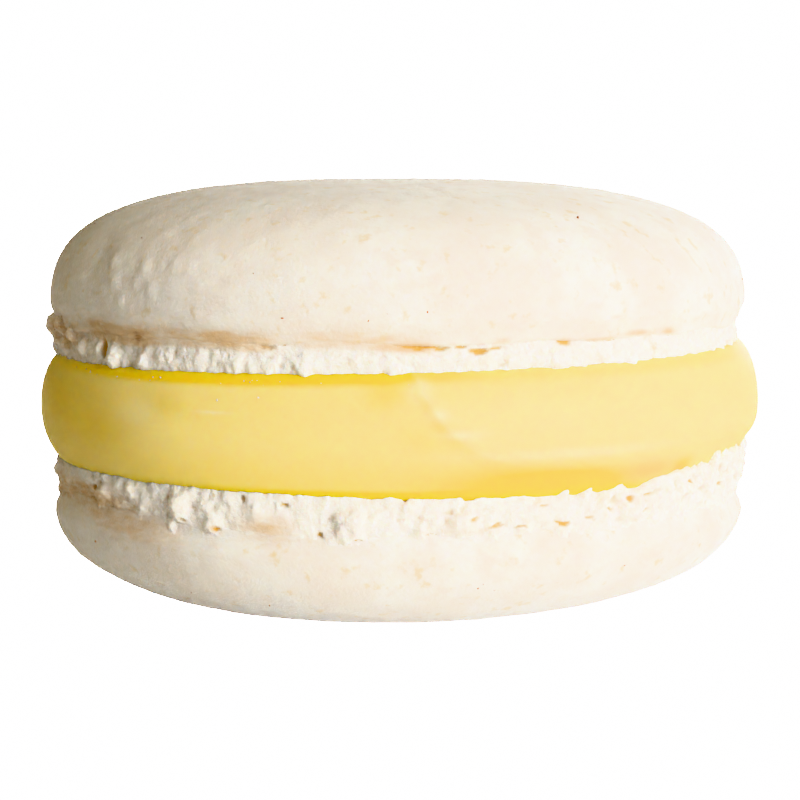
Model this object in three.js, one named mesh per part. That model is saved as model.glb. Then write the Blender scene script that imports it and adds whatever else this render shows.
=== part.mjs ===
// A filled French macaron: two baked almond meringue shells, domed side out, with a thick layer of
// piped lemon cream pressed between them so that it bulges past their edges.
//
// Each shell is one baked piece. Its smooth skin is a shallow dome that tucks in at a lip, and under the
// lip is the foot: a low ring of frothy crags that rises as the batter bakes. The macaron lies on a small
// flat spot at the crown of its lower shell. Its layers lean a little, as hand-pressed ones do.
//
// Units are millimetres. +Z is up, -Y is the front, and the origin is on the table under the macaron.
// Angles round the macaron are measured from the front towards +X.
import * as THREE from "three";
import { ImprovedNoise } from "three/addons/math/ImprovedNoise.js";

const { degToRad, euclideanModulo, lerp, smoothstep } = THREE.MathUtils;

// Levels at the macaron's axis above the table, and their lean in degrees, rising towards +X.
const UPPER_CROWN = { height: 27.2, lean: -0.1 };
const UPPER_LIP = { height: 18.4, lean: 0.2 };
const UPPER_CONTACT = { height: 16.25, lean: 1.19 };
const LOWER_CONTACT = { height: 9.58, lean: -0.4 };
const LOWER_LIP = { height: 7.0, lean: 0 };
const LOWER_CROWN = { height: -0.25, lean: 0.6 }; // below the table: what would reach there is flat

// Outer sizes.
const SHELL_RADIUS = 22.6;
const CREAM_RADIUS = 23.25;
const CREAM_EDGE_RADIUS = 21.2; // where the cream's bulge meets the shells
const CONTACT_GAP = 0.15; // clearance between a shell and the cream, on each side

// The skin's outline is a superellipse. Higher powers give a flatter crown and a more upright side.
const CROWN_POWER = 2.8;
const UPPER_SIDE_POWER = 3.2;
const LOWER_SIDE_POWER = 2.5;
const LIP_TUCK = 0.42; // how far the skin draws in towards its lip
const TUCK_HEIGHT = 1.1;

// The foot: how far it stays inside the shell's radius, crags that stand out and sink in, finer grains
// on them, and a ragged edge on the cream.
const UPPER_FOOT_INSET = 0.36;
const LOWER_FOOT_INSET = 0.12;
const CRAG_SIZE = 2.6;
const CRAG_RELIEF = 1.0;
const GRAIN_SIZE = 1.2;
const GRAIN_RELIEF = 0.35;
const LUMP_MEAN = 0.7; // the mean of lumpsAt, so that crags stand out and sink in alike
const EDGE_RAGGEDNESS = 1.0;
const KNOB_RELIEF = 0.5;

// The foot's rings from the contact face up to the lip: the share of the foot's height, how far in from
// the foot's widest ring, how much of the crags' relief, and how much of the edge's raggedness.
const FOOT_RINGS = [
  { share: 0, inset: 0.95, crag: 0, ragged: 0 },
  { share: 0.05, inset: 0.5, crag: 0.6, ragged: 1 },
  { share: 0.22, inset: 0.15, crag: 1, ragged: 0.6 },
  { share: 0.4, inset: 0, crag: 1, ragged: 0.2 },
  { share: 0.58, inset: 0.05, crag: 1, ragged: 0 },
  { share: 0.76, inset: 0.22, crag: 0.9, ragged: 0 },
  { share: 0.93, inset: 0.46, crag: 0.6, ragged: 0 },
];

// Slow unevenness of a hand-piped round.
const OVALITY = 0.006;
const SKIN_WAVE = 0.1;
const SKIN_WAVELENGTH = 9;
const LIP_WAVE = 0.45;
const LIP_WAVELENGTH = 6;

// The ridge where the piped cream ends on top of its own start: it runs down from the upper shell at
// the front, then along the cream's foot and fades out on the way round.
const RIDGE_STEP = 0.3;
const RIDGE_START = degToRad(1);
const RIDGE_FALL = degToRad(6);
const RIDGE_FLOOR = 0.2;
const RIDGE_SOFTNESS = 0.1;

// Facets round the axis, and rings along the curved outlines.
const SHELL_COLUMNS = 160;
const DOME_RINGS = 9;
const DOME_CROWDING = 1.25; // above 1 crowds the dome's rings towards its sharply curved side
const CREAM_COLUMNS = 120;
const BULGE_RINGS = 10;
const BULGE_POWER = 0.9; // below 1 makes the cream's bulge fuller than an ellipse

// Single knobs of froth on each foot: the angle in degrees, the share of the foot's height, the radius.
const UPPER_KNOBS = [
  { angle: -84, share: 0.6, radius: 1.8 },
  { angle: -52, share: 0.35, radius: 1.1 },
  { angle: -14, share: 0.25, radius: 0.9 },
  { angle: 24, share: 0.3, radius: 1.0 },
  { angle: 141, share: 0.4, radius: 1.1 },
];
const LOWER_KNOBS = [
  { angle: -35, share: 0.5, radius: 1.3 },
  { angle: -8, share: 0.5, radius: 1.6 },
  { angle: 9, share: 0.6, radius: 1.2 },
  { angle: 38, share: 0.5, radius: 1.3 },
  { angle: 118, share: 0.4, radius: 1.4 },
  { angle: -150, share: 0.5, radius: 1.3 },
];

const SEED_SHIFT = 40; // how far apart in noise space the shells' crags are read

const perlin = new ImprovedNoise();

// The height at x of a level that leans about the Y axis.
function heightOf({ height, lean }, x) {
  return height + Math.tan(degToRad(lean)) * x;
}

// Smooth noise from about -1 to 1 that changes over a wavelength.
function waveAt(p, wavelength) {
  return perlin.noise(p.x / wavelength, p.y / wavelength, p.z / wavelength);
}

// A repeatable number from 0 to 1 for a whole-number cell and a channel.
function cellNumber(i, j, k, channel) {
  const s = Math.sin(i * 127.1 + j * 311.7 + k * 74.7 + channel * 269.5) * 43758.5453;
  return s - Math.floor(s);
}

// Cauliflower relief, from 0 in the creases to 1 on the tops of round lumps about `size` across.
function lumpsAt(p, size) {
  const q = p.clone().divideScalar(size);
  const home = q.clone().floor();
  const centre = new THREE.Vector3();
  let nearest = 1;
  for (let i = home.x - 1; i <= home.x + 1; i++)
    for (let j = home.y - 1; j <= home.y + 1; j++)
      for (let k = home.z - 1; k <= home.z + 1; k++) {
        centre.set(i + cellNumber(i, j, k, 0), j + cellNumber(i, j, k, 1), k + cellNumber(i, j, k, 2));
        nearest = Math.min(nearest, centre.distanceTo(q));
      }
  return 1 - nearest * nearest;
}

// A point at a radius and an angle round the axis.
function polar(radius, angle, z = 0) {
  return new THREE.Vector3(radius * Math.sin(angle), -radius * Math.cos(angle), z);
}

// Turns a profile into a closed surface about Z. `place` gives each ring's vertex at an angle.
function turned(profile, columns, place) {
  const outline = profile.map(({ radius }, i) => new THREE.Vector2(radius, i));
  const geometry = new THREE.LatheGeometry(outline, columns);
  const position = geometry.getAttribute("position");
  for (let n = 0; n < position.count; n++) {
    const column = Math.floor(n / profile.length) % columns;
    const vertex = place((column / columns) * 2 * Math.PI, profile[n % profile.length]);
    position.setXYZ(n, vertex.x, vertex.y, vertex.z);
  }
  geometry.deleteAttribute("normal");
  geometry.deleteAttribute("uv");
  return geometry;
}

// A shell's rings, from the middle of its contact face round its edge to its crown. `foot` is the share
// of the way from the contact face to the lip, and `dome` the share from the lip to the crown.
function shellProfile(footInset, sidePower) {
  const smooth = { crag: 0, ragged: 0 };
  const contact = { radius: 0, foot: 0, dome: 0, ...smooth };
  const foot = FOOT_RINGS.map(({ share, inset, crag, ragged }) => {
    return { radius: SHELL_RADIUS - footInset - inset, foot: share, dome: 0, crag, ragged };
  });
  const lip = { radius: SHELL_RADIUS - LIP_TUCK, foot: 1, dome: 0, ...smooth };
  const dome = [];
  for (let i = 1; i <= DOME_RINGS; i++) {
    const turn = (i / DOME_RINGS) ** DOME_CROWDING * (Math.PI / 2);
    const radius = i === DOME_RINGS ? 0 : SHELL_RADIUS * Math.cos(turn) ** (2 / CROWN_POWER);
    dome.push({ radius, foot: 1, dome: Math.sin(turn) ** (2 / sidePower), ...smooth });
  }
  return [contact, ...foot, lip, ...dome];
}

// How far the foot's surface stands out of its profile at a point: crags and grains, or a knob where
// that stands out further. `lumpy` is the point in the crags' own space.
function footRelief(p, lumpy, knobs) {
  const crags = CRAG_RELIEF * (lumpsAt(lumpy, CRAG_SIZE) - LUMP_MEAN);
  const grains = GRAIN_RELIEF * (lumpsAt(lumpy, GRAIN_SIZE) - LUMP_MEAN);
  const knobHeights = knobs.map(({ centre, radius }) => {
    const away = Math.min(centre.distanceTo(p) / radius, 1);
    return KNOB_RELIEF * Math.sqrt(1 - away * away);
  });
  return Math.max(crags + grains, ...knobHeights);
}

// One baked shell. `sense` is 1 for the upper shell, whose crown is above its contact face, and -1 for
// the lower one.
function shell({ contact, lip, crown, footInset, sidePower, knobs, drift, seed }) {
  const sense = Math.sign(crown.height - contact.height);
  const footHeight = Math.abs(lip.height - contact.height);
  const domeHeight = Math.abs(crown.height - lip.height);
  const placedKnobs = knobs.map(({ angle, share, radius }) => {
    const centre = polar(SHELL_RADIUS, degToRad(angle));
    centre.z = heightOf(contact, centre.x) + sense * share * footHeight;
    return { centre, radius };
  });

  const place = (angle, { radius, foot, dome, crag, ragged }) => {
    const tuck = dome > 0 ? LIP_TUCK * (1 - smoothstep(dome * domeHeight, 0, TUCK_HEIGHT)) : 0;
    const p = polar((radius - tuck) * (1 + sense * OVALITY * Math.sin(2 * angle)), angle);
    const lumpy = new THREE.Vector3(p.x, p.y, foot * footHeight).addScalar(seed * SEED_SHIFT);
    const lipHeight = heightOf(lip, p.x) + LIP_WAVE * waveAt(lumpy, LIP_WAVELENGTH) * (1 - dome);
    p.z = lerp(lerp(heightOf(contact, p.x), lipHeight, foot), heightOf(crown, p.x), dome);
    p.z += sense * dome * SKIN_WAVE * waveAt(p, SKIN_WAVELENGTH);
    const sunk = Math.max(LUMP_MEAN - lumpsAt(lumpy, CRAG_SIZE), 0);
    p.add(polar(crag * footRelief(p, lumpy, placedKnobs), angle));
    p.z += sense * ragged * EDGE_RAGGEDNESS * sunk;
    p.x += drift;
    p.z = Math.max(p.z, 0);
    return p;
  };

  const profile = shellProfile(footInset, sidePower);
  return turned(sense > 0 ? profile : profile.reverse(), SHELL_COLUMNS, place);
}

// How much of the piped cream's end lies over a point, from 0 to 1. `share` is the point's share of the
// cream's height.
function ridgeCover(angle, share) {
  const past = euclideanModulo(angle - RIDGE_START, 2 * Math.PI);
  const ridge = lerp(RIDGE_FLOOR, 1 + RIDGE_SOFTNESS, Math.exp(-past / RIDGE_FALL));
  return smoothstep(share, ridge - RIDGE_SOFTNESS, ridge + RIDGE_SOFTNESS) * (1 - past / (2 * Math.PI));
}

// The cream between the shells: flat where it touches them, and bulging out between their edges.
function cream() {
  const profile = [{ radius: 0, share: 0, bulge: 0 }];
  for (let i = 0; i <= BULGE_RINGS; i++) {
    const turn = (i / BULGE_RINGS - 0.5) * Math.PI;
    const bulge = Math.cos(turn) ** BULGE_POWER;
    const radius = lerp(CREAM_EDGE_RADIUS, CREAM_RADIUS, bulge);
    profile.push({ radius, share: 0.5 + 0.5 * Math.sin(turn), bulge });
  }
  profile.push({ radius: 0, share: 1, bulge: 0 });

  const place = (angle, { radius, share, bulge }) => {
    const p = polar(radius + RIDGE_STEP * bulge * ridgeCover(angle, share), angle);
    const bottom = heightOf(LOWER_CONTACT, p.x) + CONTACT_GAP;
    const top = heightOf(UPPER_CONTACT, p.x) - CONTACT_GAP;
    p.z = lerp(bottom, top, share);
    return p;
  };
  return turned(profile, CREAM_COLUMNS, place);
}

// A named piece with its colour and finish.
function piece(name, geometry, color, roughness) {
  const material = new THREE.MeshStandardMaterial({ color, roughness, metalness: 0 });
  const mesh = new THREE.Mesh(geometry, material);
  mesh.name = name;
  return mesh;
}

const upperShell = shell({
  contact: UPPER_CONTACT,
  lip: UPPER_LIP,
  crown: UPPER_CROWN,
  footInset: UPPER_FOOT_INSET,
  sidePower: UPPER_SIDE_POWER,
  knobs: UPPER_KNOBS,
  drift: -0.1,
  seed: 1,
});
const lowerShell = shell({
  contact: LOWER_CONTACT,
  lip: LOWER_LIP,
  crown: LOWER_CROWN,
  footInset: LOWER_FOOT_INSET,
  sidePower: LOWER_SIDE_POWER,
  knobs: LOWER_KNOBS,
  drift: 0.05,
  seed: 2,
});

const macaron = new THREE.Group();
macaron.add(piece("top_shell", upperShell, "#f2ebdd", 0.85));
macaron.add(piece("filling", cream(), "#f3d568", 0.42));
macaron.add(piece("bottom_shell", lowerShell, "#f1e9dc", 0.85));

export default macaron;
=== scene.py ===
"""A filled macaron: two baked almond meringue shells with piped lemon cream pressed between them.

Sizes are millimetres and become metres where a mesh is written. +Z is up, -Y is the front, and the
origin is on the table under the macaron. Angles round the macaron are degrees from the front towards
+X. Each shell is made level first; settling then gives it the lean of a macaron pressed by hand.
"""

import logging
import math
import random
from dataclasses import dataclass
from enum import Enum
from typing import Callable

import bpy
import numpy as np
from mathutils import Euler, Matrix, Vector
from mathutils.kdtree import KDTree


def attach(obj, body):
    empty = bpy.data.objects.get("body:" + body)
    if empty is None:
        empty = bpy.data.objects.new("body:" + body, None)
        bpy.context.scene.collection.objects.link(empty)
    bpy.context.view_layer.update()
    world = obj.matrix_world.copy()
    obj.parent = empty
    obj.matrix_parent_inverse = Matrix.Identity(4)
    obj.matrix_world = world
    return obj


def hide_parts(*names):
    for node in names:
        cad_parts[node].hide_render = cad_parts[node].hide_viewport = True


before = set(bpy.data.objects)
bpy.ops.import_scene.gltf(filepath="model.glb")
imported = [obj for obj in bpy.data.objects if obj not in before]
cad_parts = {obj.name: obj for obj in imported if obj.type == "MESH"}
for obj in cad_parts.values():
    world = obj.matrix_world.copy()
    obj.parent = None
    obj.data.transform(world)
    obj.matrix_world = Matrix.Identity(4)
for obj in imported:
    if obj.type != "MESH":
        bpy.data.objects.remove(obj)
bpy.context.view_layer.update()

log = logging.getLogger("macaron")

MM = 0.001

SHELL_RADIUS = 22.6
OVALITY = 0.006  # the upper shell is longer one way and the lower shell the other way
LUMP_STEPS = 2  # subdivisions of a ball that is copied hundreds of times
CURVE_POINTS = 2000  # points of a curve before it is divided evenly
SEED_STEP = 40.0  # how far apart in a pattern two seeds lie
FLAT_TOP = 0.2  # how much of a blister or pit has its full height


# ---------------------------------------------------------------- colour and node helpers


def linear(hex_colour: str) -> tuple[float, float, float, float]:
    """Turns an sRGB hex colour into the linear colour that Blender's sockets take.

    Args:
        hex_colour: Six hex digits with or without a leading hash.

    Returns:
        Linear red, green, blue and an alpha of one.
    """
    digits = hex_colour.lstrip("#")
    channels = [int(digits[i : i + 2], 16) / 255 for i in (0, 2, 4)]
    return (*[c / 12.92 if c <= 0.04045 else ((c + 0.055) / 1.055) ** 2.4 for c in channels], 1.0)


def add_node(tree: bpy.types.NodeTree, kind: str, inputs: dict | None = None, **settings) -> bpy.types.Node:
    """Adds a node with its settings, its input values and its incoming links.

    Args:
        tree: The node tree that gets the node.
        kind: The node's type name.
        inputs: Socket name or number to a value, or to the output socket that feeds it.
        settings: Properties of the node itself.

    Returns:
        The new node.
    """
    node = tree.nodes.new(kind)
    for name, value in settings.items():
        setattr(node, name, value)
    for socket, value in (inputs or {}).items():
        if isinstance(value, bpy.types.NodeSocket):
            tree.links.new(value, node.inputs[socket])
        else:
            node.inputs[socket].default_value = value
    return node


def new_material(name: str) -> tuple[bpy.types.Material, bpy.types.NodeTree]:
    """Starts a material without nodes.

    Args:
        name: The material's name.

    Returns:
        The material and its empty node tree.
    """
    material = bpy.data.materials.new(name)
    material.use_nodes = True
    material.node_tree.nodes.clear()
    return material, material.node_tree


def geometry_tree(name: str) -> bpy.types.NodeTree:
    """Starts a geometry node tree that takes in one mesh and gives one back.

    Args:
        name: The tree's name.

    Returns:
        The tree, with its two sockets and no nodes.
    """
    tree = bpy.data.node_groups.new(name, "GeometryNodeTree")
    for direction in ("INPUT", "OUTPUT"):
        tree.interface.new_socket("Geometry", in_out=direction, socket_type="NodeSocketGeometry")
    return tree


# ---------------------------------------------------------------- mesh helpers


def deselect_all() -> None:
    """Leaves nothing selected, so that an operator acts only on what is selected next."""
    for piece in bpy.context.selected_objects:
        piece.select_set(False)


def make_active(piece: bpy.types.Object) -> None:
    """Selects one object alone and makes it the active one.

    Args:
        piece: The object.
    """
    deselect_all()
    piece.select_set(True)
    bpy.context.view_layer.objects.active = piece


def apply_modifier(piece: bpy.types.Object, name: str, kind: str, **settings) -> None:
    """Adds a modifier with its settings and applies it.

    Args:
        piece: The object that gets the modifier.
        name: The modifier's name.
        kind: The modifier's type name.
        settings: Properties of the modifier.
    """
    make_active(piece)
    modifier = piece.modifiers.new(name, kind)
    for setting, value in settings.items():
        setattr(modifier, setting, value)
    bpy.ops.object.modifier_apply(modifier=modifier.name)


def points_of(piece: bpy.types.Object) -> np.ndarray:
    """Reads a mesh's vertices.

    Args:
        piece: The object with the mesh.

    Returns:
        The vertices in millimetres, one row each.
    """
    flat = np.empty(len(piece.data.vertices) * 3, np.float32)
    piece.data.vertices.foreach_get("co", flat)
    return flat.reshape(-1, 3).astype(float) / MM


def move_points(piece: bpy.types.Object, points: np.ndarray) -> None:
    """Writes a mesh's vertices back from millimetres."""
    piece.data.vertices.foreach_set("co", (points * MM).astype(np.float32).ravel())
    piece.data.update()


def store(piece: bpy.types.Object, name: str, values: np.ndarray) -> None:
    """Keeps one number per vertex as a named attribute that nodes can read."""
    attribute = piece.data.attributes.get(name) or piece.data.attributes.new(name, "FLOAT", "POINT")
    attribute.data.foreach_set("value", values.astype(np.float32))


def values_of(piece: bpy.types.Object, name: str) -> np.ndarray:
    """Reads a named attribute.

    Args:
        piece: The object with the mesh.
        name: The attribute's name.

    Returns:
        One number per vertex.
    """
    values = np.empty(len(piece.data.vertices), np.float32)
    piece.data.attributes[name].data.foreach_get("value", values)
    return values


def join_all(pieces: list[bpy.types.Object]) -> bpy.types.Object:
    """Joins objects into the first of them, and leaves their meshes as they are.

    Args:
        pieces: The objects.

    Returns:
        The joined object.
    """
    make_active(pieces[0])
    for piece in pieces:
        piece.select_set(True)
    bpy.ops.object.join()
    return bpy.context.object


def dress(piece: bpy.types.Object, finish: bpy.types.Material) -> None:
    """Makes a piece's shading smooth and gives it its one material.

    Args:
        piece: The piece.
        finish: Its material.
    """
    make_active(piece)
    bpy.ops.object.shade_smooth()
    piece.data.materials.clear()
    piece.data.materials.append(finish)


def uneven_ball(unevenness: float, seed: int) -> bpy.types.Object:
    """Models the small ball, a millimetre in radius, that lumps and bits are copied from.

    Args:
        unevenness: How far each of its points strays, in millimetres.
        seed: Chooses how they stray.

    Returns:
        The ball.
    """
    deselect_all()
    bpy.ops.mesh.primitive_ico_sphere_add(subdivisions=LUMP_STEPS, radius=MM)
    bpy.ops.object.mode_set(mode="EDIT")
    bpy.ops.mesh.select_all(action="SELECT")
    bpy.ops.transform.vertex_random(offset=unevenness * MM, seed=seed)
    bpy.ops.object.mode_set(mode="OBJECT")
    return bpy.context.object


def copy_to(
    ball: bpy.types.Object, place: np.ndarray, scale: tuple[float, ...], draws: random.Random
) -> bpy.types.Object:
    """Copies a ball, turned at random.

    Args:
        ball: The object to copy.
        place: Where the copy's middle goes, in millimetres.
        scale: How much the turned copy is stretched along X, Y and Z.
        draws: The seeded draws, for its turn.

    Returns:
        The copy, with its place in its own mesh.
    """
    copy = ball.copy()
    copy.data = ball.data.copy()
    bpy.context.scene.collection.objects.link(copy)
    turned = Euler([draws.uniform(0, math.tau) for _ in range(3)]).to_matrix().to_4x4()
    stretched = Matrix.Diagonal((*scale, 1))
    copy.data.transform(Matrix.Translation(Vector(place) * MM) @ stretched @ turned)
    return copy


def join_solids(piece: bpy.types.Object, other: bpy.types.Object, names: tuple[str, ...]) -> None:
    """Unites two closed solids and gives each point of the joined one its nearest old point's values.

    Args:
        piece: The solid that stays.
        other: The solid that becomes a part of it.
        names: The attributes to keep.
    """
    old_points = np.concatenate([points_of(piece), points_of(other)])
    old_values = {name: np.concatenate([values_of(piece, name), values_of(other, name)]) for name in names}
    apply_modifier(piece, "join", "BOOLEAN", operation="UNION", solver="MANIFOLD", object=other)
    bpy.data.objects.remove(other)
    tree = KDTree(len(old_points))
    for number, point in enumerate(old_points):
        tree.insert(point, number)
    tree.balance()
    nearest = [tree.find(point)[1] for point in points_of(piece)]
    for name, values in old_values.items():
        store(piece, name, values[nearest])


def turn_outline(name: str, outline: list[tuple[float, float]], columns: int) -> bpy.types.Object:
    """Extrudes an outline point by point and spins it about Z into a closed solid.

    Args:
        name: The new object's name.
        outline: Radius and height of each point in millimetres. It starts and ends on the axis, or
            comes back to its first point.
        columns: Faces round the axis.

    Returns:
        The solid, with its poles merged and its faces pointing outwards.
    """
    deselect_all()
    bpy.ops.mesh.primitive_plane_add(size=MM)
    piece = bpy.context.object
    piece.name = piece.data.name = name
    bpy.ops.object.mode_set(mode="EDIT")
    bpy.ops.mesh.merge(type="CENTER")
    radius, height = outline[0]
    bpy.ops.transform.translate(value=(radius * MM, 0, height * MM))
    for next_radius, next_height in outline[1:]:
        step = ((next_radius - radius) * MM, 0, (next_height - height) * MM)
        bpy.ops.mesh.extrude_region_move(TRANSFORM_OT_translate={"value": step})
        radius, height = next_radius, next_height
    bpy.ops.mesh.select_all(action="SELECT")
    bpy.ops.mesh.spin(steps=columns, angle=math.tau, center=(0, 0, 0), axis=(0, 0, 1))
    bpy.ops.mesh.select_all(action="SELECT")
    bpy.ops.mesh.remove_doubles(threshold=1e-6)
    bpy.ops.mesh.normals_make_consistent(inside=False)
    bpy.ops.object.mode_set(mode="OBJECT")
    return piece


def even_steps(curve: np.ndarray, spacing: float) -> list[tuple[float, float]]:
    """Spreads points evenly along a curve.

    Args:
        curve: Closely set points of the curve, one row each.
        spacing: The distance between the new points.

    Returns:
        The new points, the curve's two ends among them.
    """
    run = np.concatenate([[0], np.cumsum(np.hypot(*np.diff(curve, axis=0).T))])
    marks = np.linspace(0, run[-1], round(run[-1] / spacing) + 1)
    return list(zip(*(np.interp(marks, run, column).tolist() for column in curve.T)))


def smoothstep(value: np.ndarray, low: float, high: float) -> np.ndarray:
    """Rises smoothly from 0 at `low` to 1 at `high`."""
    share = np.clip((value - low) / (high - low), 0, 1)
    return share * share * (3 - 2 * share)


def lerp(start: np.ndarray, end: np.ndarray, share: np.ndarray) -> np.ndarray:
    """Goes from `start` to `end` by a share of the way."""
    return start + (end - start) * share


def outward(points: np.ndarray) -> np.ndarray:
    """The level direction away from the axis at each point."""
    flat = points * (1, 1, 0)
    return flat / np.maximum(np.hypot(flat[:, 0], flat[:, 1]), 1e-6)[:, None]


def ring_wave(angle: np.ndarray, slowest: int, fastest: int, seed: int) -> np.ndarray:
    """Smooth unevenness round a ring, from about -1 to 1.

    Args:
        angle: Angles in radians.
        slowest: The fewest waves round the ring.
        fastest: The most waves round the ring.
        seed: Chooses the waves' places.

    Returns:
        The height of the wave at each angle.
    """
    draws = random.Random(seed)
    counts = range(slowest, fastest + 1)
    total = sum(np.sin(count * angle + draws.uniform(0, math.tau)) for count in counts)
    return total / math.sqrt(len(counts))


# ---------------------------------------------------------------- relief and marks


class Relief:
    """Geometry nodes that move a surface along its normals by a sum of patterns in millimetres."""

    def __init__(self, name: str, seed: int) -> None:
        """Starts a flat relief.

        Args:
            name: The node group's name.
            seed: Chooses where in the patterns the piece lies.
        """
        self.tree = geometry_tree(name)
        self.start = add_node(self.tree, "NodeGroupInput")
        position = add_node(self.tree, "GeometryNodeInputPosition").outputs[0]
        inputs = {0: position, 1: (1 / MM,) * 3, 2: (seed * SEED_STEP,) * 3}
        place = add_node(self.tree, "ShaderNodeVectorMath", inputs, operation="MULTIPLY_ADD")
        self.place = place.outputs[0]
        self.height = 0.0

    def add(self, pattern: bpy.types.NodeSocket, relief: float) -> None:
        """Adds a pattern to the relief.

        Args:
            pattern: A number from 0 to 1 for each point.
            relief: Its height in millimetres.
        """
        inputs = {0: pattern, 1: relief, 2: self.height}
        self.height = add_node(self.tree, "ShaderNodeMath", inputs, operation="MULTIPLY_ADD").outputs[0]

    def waves(self, wavelength: float, relief: float, detail: float = 1.0) -> None:
        """Adds smooth swells.

        Args:
            wavelength: The distance from swell to swell.
            relief: The height from hollow to top.
            detail: How many finer swells ride on them.
        """
        inputs = {"Vector": self.place, "Scale": 1 / wavelength, "Detail": detail}
        noise = add_node(self.tree, "ShaderNodeTexNoise", inputs).outputs["Fac"]
        centred = add_node(self.tree, "ShaderNodeMath", {0: noise, 1: 0.5}, operation="SUBTRACT")
        self.add(centred.outputs[0], relief * 2)

    def cells(self, size: float, relief: float) -> None:
        """Adds round lumps with creases between them.

        Args:
            size: The distance from lump to lump.
            relief: How deep the creases are.
        """
        inputs = {"Vector": self.place, "Scale": 1 / size, "Smoothness": 0.2}
        cells = add_node(self.tree, "ShaderNodeTexVoronoi", inputs, feature="SMOOTH_F1").outputs["Distance"]
        sunk = add_node(self.tree, "ShaderNodeMath", {0: cells, 1: 2.0}, operation="POWER")
        self.add(sunk.outputs[0], -relief * 2)

    def blots(self, size: float, chance: float, radius: float, relief: float) -> None:
        """Adds single round blisters, or pits where the relief is negative.

        Args:
            size: The distance between places where one may be.
            chance: How many of the places have one.
            radius: Its radius as a share of that distance.
            relief: Its height.
        """
        cells = add_node(self.tree, "ShaderNodeTexVoronoi", {"Vector": self.place, "Scale": 1 / size})
        draw = add_node(self.tree, "FunctionNodeSeparateColor", {"Color": cells.outputs["Color"]})
        inputs = {"Value": draw.outputs[0], "From Min": 1 - chance, "From Max": 1.0}
        chosen = add_node(self.tree, "ShaderNodeMapRange", inputs).outputs[0]
        inputs = {"Value": cells.outputs["Distance"], "From Min": radius, "From Max": FLAT_TOP * radius}
        dome = add_node(self.tree, "ShaderNodeMapRange", inputs, interpolation_type="SMOOTHSTEP").outputs[0]
        blot = add_node(self.tree, "ShaderNodeMath", {0: dome, 1: chosen}, operation="MULTIPLY")
        self.add(blot.outputs[0], relief)

    def fade(self, attribute: str, least: float) -> None:
        """Lowers the relief where a named attribute is low.

        Args:
            attribute: The attribute's name.
            least: The share of the relief that is left where it is 0.
        """
        inputs = {"Name": attribute}
        value = add_node(self.tree, "GeometryNodeInputNamedAttribute", inputs, data_type="FLOAT")
        inputs = {"Value": value.outputs["Attribute"], "To Min": least}
        share = add_node(self.tree, "ShaderNodeMapRange", inputs).outputs[0]
        faded = add_node(self.tree, "ShaderNodeMath", {0: self.height, 1: share}, operation="MULTIPLY")
        self.height = faded.outputs[0]

    def apply(self, piece: bpy.types.Object) -> None:
        """Moves the piece's points and leaves no modifier on it.

        Args:
            piece: The piece.
        """
        normal = add_node(self.tree, "GeometryNodeInputNormal").outputs[0]
        metres = add_node(self.tree, "ShaderNodeMath", {0: self.height, 1: MM}, operation="MULTIPLY")
        inputs = {0: normal, "Scale": metres.outputs[0]}
        offset = add_node(self.tree, "ShaderNodeVectorMath", inputs, operation="SCALE").outputs[0]
        inputs = {"Geometry": self.start.outputs[0], "Offset": offset}
        moved = add_node(self.tree, "GeometryNodeSetPosition", inputs).outputs[0]
        add_node(self.tree, "NodeGroupOutput", {0: moved})
        apply_modifier(piece, self.tree.name, "NODES", node_group=self.tree)


@dataclass(frozen=True)
class Mark:
    """One place on a piece that is dented, raised or tinted.

    Attributes:
        angle: Its place round the macaron.
        level: Its place up the piece. On a shell it is 0 at the cream, 1 at the lip and 2 at the crown,
            and on the cream 0 at the bottom and 1 at the top.
        width: Half its width along the ring.
        height: Half its height.
        amount: How strong it is.
        edge: Above 1, how much sharper its edge is than a soft blot's.
    """

    angle: float
    level: float
    width: float
    height: float
    amount: float = 1.0
    edge: float = 1.0

    def cover(self, angle: np.ndarray, above: np.ndarray) -> np.ndarray:
        """How much of the mark lies at each place.

        Args:
            angle: Angles in radians.
            above: Each place's height above the mark's middle.

        Returns:
            A number from 0 to the mark's amount for each place.
        """
        turn = (np.degrees(angle) - self.angle + 180) % 360 - 180
        along = np.radians(turn) * SHELL_RADIUS / self.width
        away = along**2 + (above / self.height) ** 2
        return self.amount * np.exp(-(away**self.edge))


# ---------------------------------------------------------------- what the macaron is made of


@dataclass(frozen=True)
class Level:
    """A level through the macaron that leans about the Y axis.

    Attributes:
        height: Its height at the axis.
        lean: Its lean in degrees, rising towards +X.
    """

    height: float
    lean: float

    def at(self, x: np.ndarray) -> np.ndarray:
        """Gives the level's height at x."""
        return self.height + math.tan(math.radians(self.lean)) * x


@dataclass(frozen=True)
class Knob:
    """A single lump of froth.

    Attributes:
        angle: Its place round the macaron.
        share: Its place up the foot, from 0 at the cream to 1 at the lip.
        radius: Its size.
        sink: How far its middle lies inside the foot's face.
        stretch: Its height over its width.
    """

    angle: float
    share: float
    radius: float
    sink: float = 0.5
    stretch: float = 1.0


@dataclass(frozen=True)
class LumpRow:
    """A row of froth lumps round a foot.

    Attributes:
        spacing: The mean distance between lumps.
        share: The least and most place up the foot, from 0 at the cream to 1 at the lip.
        radius: The least and most size.
        sink: How far a lump's middle lies inside the foot's face.
        stretch: A lump's height over its width.
        calm: The chance that a lump is left out where the foot is smooth.
        angles: Where the row starts and ends.
    """

    spacing: float
    share: tuple[float, float]
    radius: tuple[float, float]
    sink: float
    stretch: float
    calm: float
    angles: tuple[float, float] = (0, 360)


@dataclass(frozen=True)
class Smooth:
    """A stretch of a foot that baked smooth instead of breaking into froth.

    Attributes:
        start: The angle where it starts.
        end: The angle where it ends.
        low: Its edge nearer the cream, as a share of the foot.
        tan: How tan it is, from 0 to 1.
    """

    start: float
    end: float
    low: float
    tan: float


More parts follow.
